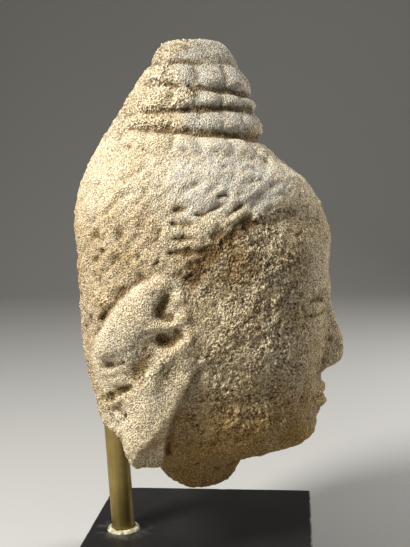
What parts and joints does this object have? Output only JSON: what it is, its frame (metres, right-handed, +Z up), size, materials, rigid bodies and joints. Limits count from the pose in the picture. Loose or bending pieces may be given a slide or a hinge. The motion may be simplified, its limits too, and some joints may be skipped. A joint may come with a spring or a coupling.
{
  "type": "mounted sandstone buddha head",
  "caption": "Weathered sandstone head with a tiered topknot and long ear lobes, held on a leaning brass rod that stands in a square black block.",
  "frame": {"origin": "middle of the underside of the base block", "axes": "+X the way the face looks, +Y towards the head's own left, +Z up"},
  "size_m": [0.112, 0.098, 0.2334],
  "materials": {
    "sandstone": "coarse weathered grain with grey patina",
    "brass": "satin, dulled",
    "black_block": "satin black paint, worn on the edges",
    "glue": "dried glue, slightly yellowed"
  },
  "bodies": {
    "root": {"stone_head": "sandstone", "brass_rod": "brass", "base_block": "black_block", "glue_bead": "glue"}
  },
  "joints": []
}
